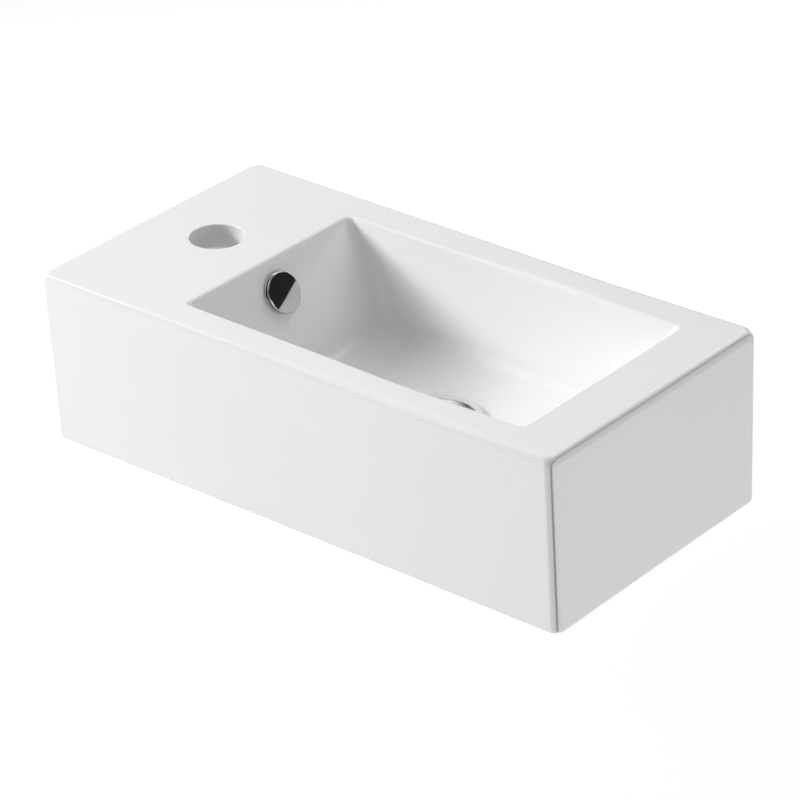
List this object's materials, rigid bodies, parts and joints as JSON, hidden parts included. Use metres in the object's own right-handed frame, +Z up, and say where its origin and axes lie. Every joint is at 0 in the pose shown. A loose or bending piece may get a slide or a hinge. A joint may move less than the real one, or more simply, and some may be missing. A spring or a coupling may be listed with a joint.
{
  "type": "wall hung basin",
  "caption": "Small rectangular wall-hung basin in white glazed ceramic: tap deck on the left, bowl on the right, chrome overflow cover and push-open waste.",
  "frame": {"origin": "on the wall face of the basin, midway between the two wall bolts", "axes": "+X to the right along the width as seen from the front, +Y into the wall, +Z up"},
  "size_m": [0.4, 0.26, 0.151],
  "materials": {
    "white_glaze": "smooth white gloss glaze",
    "polished_chrome": "mirror-polished chrome plate",
    "plated_plastic": "chrome-plated moulding",
    "waste_chrome": "polished chrome plate on brass",
    "black_rubber": "moulded, matte",
    "white_seal": "soft white washer, matte",
    "nylon": "moulded natural nylon",
    "brass": "turned brass",
    "spring_steel": "drawn wire",
    "zinc_steel": "zinc-plated"
  },
  "bodies": {
    "basin": {"basin_body": "white_glaze", "overflow_cap": "polished_chrome", "overflow_insert": "plated_plastic", "overflow_seal": "black_rubber", "waste_body": "waste_chrome", "flange_seal": "white_seal", "tapered_washer": "black_rubber", "thrust_washer": "nylon", "waste_backnut": "brass", "latch_post": "brass", "latch_spring": "spring_steel", "wall_bolts": "zinc_steel", "bolt_sleeves": "nylon", "bolt_washers": "zinc_steel", "bolt_nuts": "zinc_steel"},
    "plug": {"plug_cap": "polished_chrome", "plug_seal": "black_rubber", "plug_barrel": "brass", "latch_clip": "spring_steel"}
  },
  "joints": [
    {"name": "plug_lift", "type": "slide", "parent": "basin", "child": "plug", "axis": [0, 0, 1], "range_m": [0, 0.008], "deforming": ["latch_spring"]}
  ]
}
